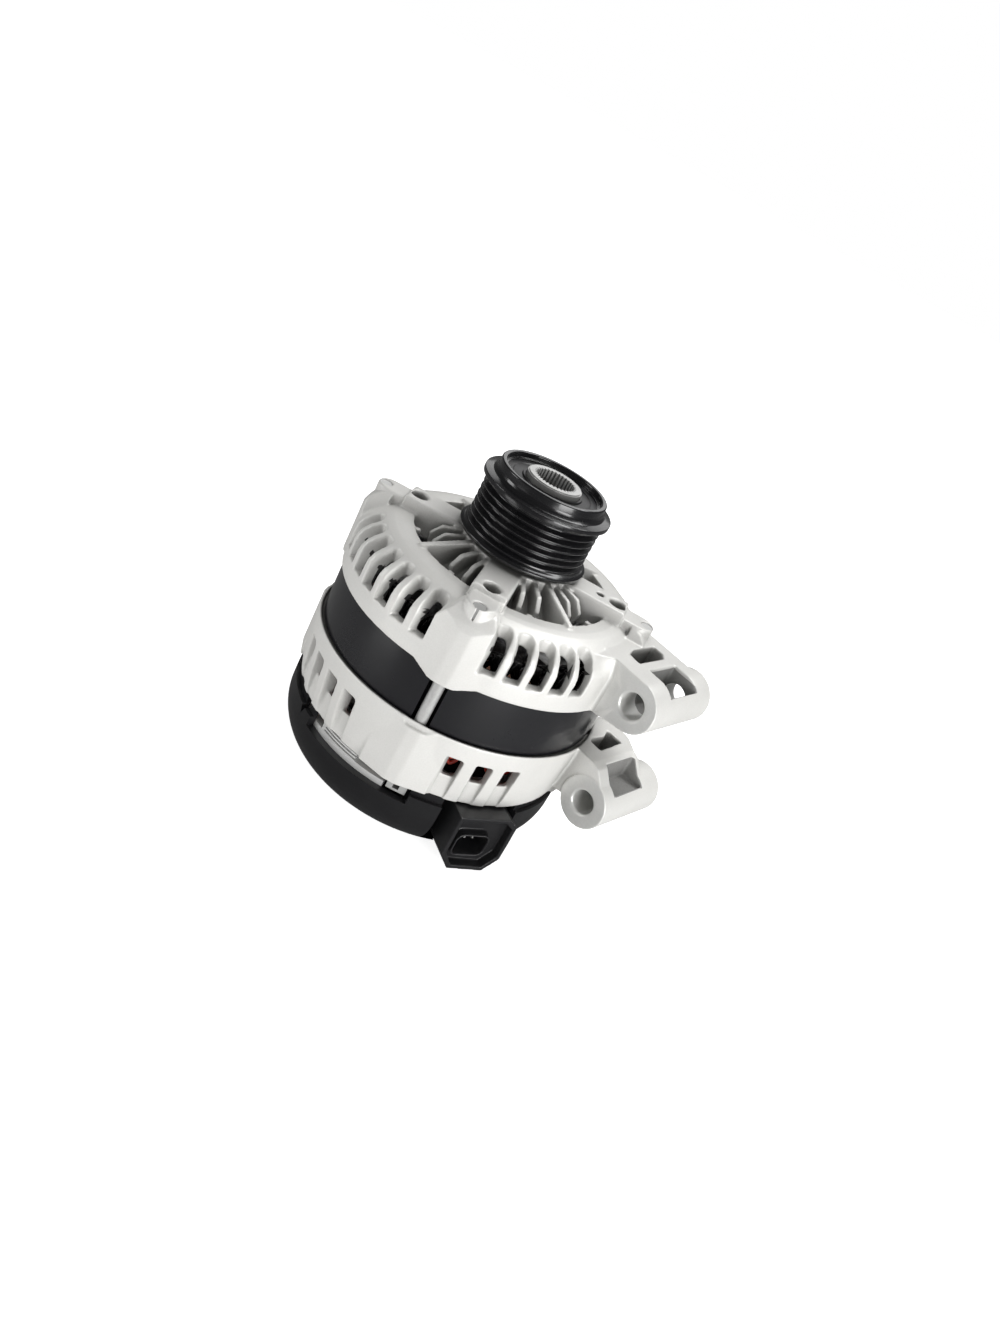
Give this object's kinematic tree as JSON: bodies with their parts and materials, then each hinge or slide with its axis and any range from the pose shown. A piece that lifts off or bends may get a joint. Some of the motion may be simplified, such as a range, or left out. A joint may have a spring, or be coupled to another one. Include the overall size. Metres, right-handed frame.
{
  "type": "car alternator",
  "caption": "Claw-pole car alternator with cast end housings, an overrunning poly-V pulley and pivot lugs on one side.",
  "frame": {"origin": "on the shaft axis, at the flat rear face of the cover", "axes": "+Z along the shaft towards the pulley, +Y along the lug bores, +X out towards the lugs"},
  "size_m": [0.1792, 0.1504, 0.1748],
  "materials": {
    "cast_aluminium": "satin as-cast aluminium",
    "stack_black": "satin black lacquered laminations",
    "winding_dark": "dark varnished copper wire",
    "winding_red": "red lacquered copper wire",
    "copper": "bare copper",
    "zinc_steel": "bright zinc plated steel",
    "bearing_steel": "ground bearing steel",
    "dark_steel": "phosphated steel",
    "rotor_iron": "turned iron",
    "cage_brass": "pressed brass",
    "pulley_black": "gloss black coated steel",
    "seal_black": "moulded rubber",
    "cover_black": "semi-gloss black moulding",
    "sink_aluminium": "bright rolled aluminium",
    "moulding_dark": "dark moulded resin",
    "natural_plastic": "unfilled nylon",
    "carbon": "pressed carbon"
  },
  "bodies": {
    "housing": {"drive_end_housing": "cast_aluminium", "rear_housing": "cast_aluminium", "stator_core": "stack_black", "stator_winding_front": "winding_dark", "stator_winding_rear": "winding_red", "slot_copper": "copper", "through_bolts": "zinc_steel", "front_bearing_outer": "bearing_steel", "retainer_plate": "zinc_steel", "retainer_screws": "zinc_steel", "rear_bearing_outer": "bearing_steel", "rear_bearing_sleeve": "natural_plastic", "rear_cover": "cover_black", "cover_studs": "zinc_steel", "cover_nuts": "zinc_steel", "positive_heat_sink": "sink_aluminium", "negative_heat_sink": "sink_aluminium", "diodes": "copper", "rectifier_terminals": "moulding_dark", "terminal_bracket": "zinc_steel", "output_stud": "zinc_steel", "output_insulator": "moulding_dark", "output_nut": "zinc_steel", "voltage_regulator": "cover_black", "connector_pins": "zinc_steel", "brush_holder": "moulding_dark", "brush_spring_inner": "zinc_steel", "brush_spring_outer": "zinc_steel"},
    "rotor": {"rotor_shaft": "bearing_steel", "front_claw_pole": "rotor_iron", "rear_claw_pole": "rotor_iron", "pole_core": "rotor_iron", "field_bobbin": "natural_plastic", "field_coil": "winding_red", "front_fan": "dark_steel", "rear_fan": "dark_steel", "slip_ring_sleeve": "moulding_dark", "slip_rings": "copper", "bearing_spacer": "dark_steel", "front_bearing_inner": "bearing_steel", "rear_bearing_inner": "bearing_steel", "pulley_hub": "zinc_steel", "pulley_bearing_inner": "bearing_steel", "clutch_spring": "dark_steel"},
    "pulley": {"pulley_sheave": "pulley_black", "pulley_seal": "seal_black", "pulley_bush": "natural_plastic", "pulley_bearing_outer": "bearing_steel"},
    "front_cage": {"front_bearing_balls": "bearing_steel", "front_bearing_cage": "cage_brass"},
    "rear_cage": {"rear_bearing_balls": "bearing_steel", "rear_bearing_cage": "natural_plastic"},
    "pulley_cage": {"pulley_bearing_balls": "bearing_steel", "pulley_bearing_cage": "cage_brass"},
    "inner_brush": {"brush_inner": "carbon"},
    "outer_brush": {"brush_outer": "carbon"}
  },
  "joints": [
    {"name": "rotor_spin", "type": "hinge", "parent": "housing", "child": "rotor", "pos_m": [0, 0, 0.085], "axis": [0, 0, 1], "continuous": true},
    {"name": "pulley_overrun", "type": "hinge", "parent": "rotor", "child": "pulley", "pos_m": [0, 0, 0.155], "axis": [0, 0, 1], "continuous": true},
    {"name": "front_cage_spin", "type": "hinge", "parent": "housing", "child": "front_cage", "pos_m": [0, 0, 0.126], "axis": [0, 0, 1], "continuous": true},
    {"name": "rear_cage_spin", "type": "hinge", "parent": "housing", "child": "rear_cage", "pos_m": [0, 0, 0.0465], "axis": [0, 0, 1], "continuous": true},
    {"name": "pulley_cage_spin", "type": "hinge", "parent": "rotor", "child": "pulley_cage", "pos_m": [0, 0, 0.164], "axis": [0, 0, 1], "continuous": true},
    {"name": "inner_brush_slide", "type": "slide", "parent": "housing", "child": "inner_brush", "axis": [0.9272, -0.3746, 0], "range_m": [0, 0.004], "stiffness_N_per_m": 250, "springref_m": -0.006, "deforming": ["brush_spring_inner"]},
    {"name": "outer_brush_slide", "type": "slide", "parent": "housing", "child": "outer_brush", "axis": [0.9272, -0.3746, 0], "range_m": [0, 0.004], "stiffness_N_per_m": 250, "springref_m": -0.006, "deforming": ["brush_spring_outer"]}
  ],
  "couplings": [
    {"joint": "front_cage_spin", "follows": "rotor_spin", "ratio": 0.369},
    {"joint": "rear_cage_spin", "follows": "rotor_spin", "ratio": 0.384},
    {"joint": "pulley_cage_spin", "follows": "pulley_overrun", "ratio": 0.564}
  ]
}
